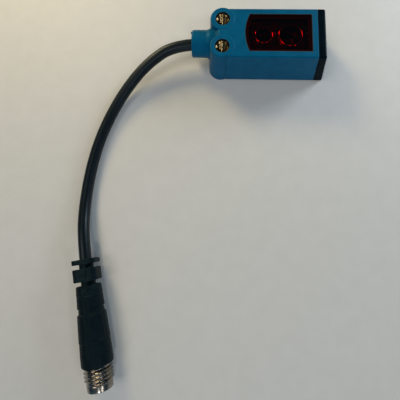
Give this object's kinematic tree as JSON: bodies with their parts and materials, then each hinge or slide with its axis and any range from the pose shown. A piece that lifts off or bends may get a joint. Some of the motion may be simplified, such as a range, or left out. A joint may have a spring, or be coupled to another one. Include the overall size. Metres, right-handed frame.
{
  "type": "photoelectric sensor",
  "caption": "Miniature rectangular photoelectric sensor with a tinted optics window, threaded mounting lugs, an end adjuster and a short cable with a round M8 plug.",
  "frame": {"origin": "middle of the sensor's box at its rear face, which lies on the table", "axes": "+X along the body towards the head end with the adjuster, +Y across the body, +Z out of the front window"},
  "size_m": [0.0762, 0.1114, 0.0121],
  "materials": {
    "blue_plastic": "fine satin moulded ABS",
    "black_plastic": "satin moulded",
    "window_tint": "polished dark red acrylic",
    "seal_rubber": "matt",
    "brass": "turned brass, slightly tarnished",
    "carrier_plastic": "matt black, glass filled",
    "lens_clear": "polished optical acrylic",
    "board_green": "solder resist",
    "led_package": "white resin package",
    "chip_package": "black epoxy",
    "tin": "tinned sheet",
    "ceramic": "fired ceramic",
    "contact_gold": "gold flash plating",
    "adjuster_plastic": "light grey nylon",
    "power_pipe": "clear green tinted",
    "signal_pipe": "clear amber tinted",
    "grommet_rubber": "matt",
    "cable_jacket": "satin polyurethane jacket",
    "insulation_brown": "core insulation",
    "insulation_white": "core insulation",
    "insulation_blue": "core insulation",
    "insulation_black": "core insulation",
    "plug_rubber": "satin moulded polyurethane",
    "nickel": "nickel plated brass",
    "insert_plastic": "black nylon"
  },
  "bodies": {
    "sensor": {"housing": "blue_plastic", "threaded_inserts": "brass", "front_window": "window_tint", "window_seal": "seal_rubber", "optics_carrier": "carrier_plastic", "emitter_lens": "lens_clear", "receiver_lens": "lens_clear", "main_board": "board_green", "emitter_led": "led_package", "receiver_photodiode": "chip_package", "receiver_shield": "tin", "sensor_chip": "chip_package", "board_capacitors": "ceramic", "board_link_pins": "contact_gold", "head_cap": "black_plastic", "cap_seal": "seal_rubber", "adjuster_ring": "seal_rubber", "potentiometer_body": "chip_package", "control_board": "board_green", "power_led": "led_package", "signal_led": "led_package", "power_light_pipe": "power_pipe", "signal_light_pipe": "signal_pipe", "cable_grommet": "grommet_rubber", "cable_clamp": "tin", "pigtail_cable": "cable_jacket", "wire_brown": "insulation_brown", "wire_white": "insulation_white", "wire_blue": "insulation_blue", "wire_black": "insulation_black", "plug_overmould": "plug_rubber", "plug_threaded_sleeve": "nickel", "plug_contact_carrier": "insert_plastic", "plug_contacts": "contact_gold"},
    "adjuster": {"adjuster_screw": "adjuster_plastic", "potentiometer_wiper": "contact_gold"}
  },
  "joints": [
    {"name": "sensitivity_adjuster", "type": "hinge", "parent": "sensor", "child": "adjuster", "pos_m": [0.02, 0, 0.006], "axis": [0.9701, 0, 0.2425], "range_deg": [-135, 135]}
  ]
}
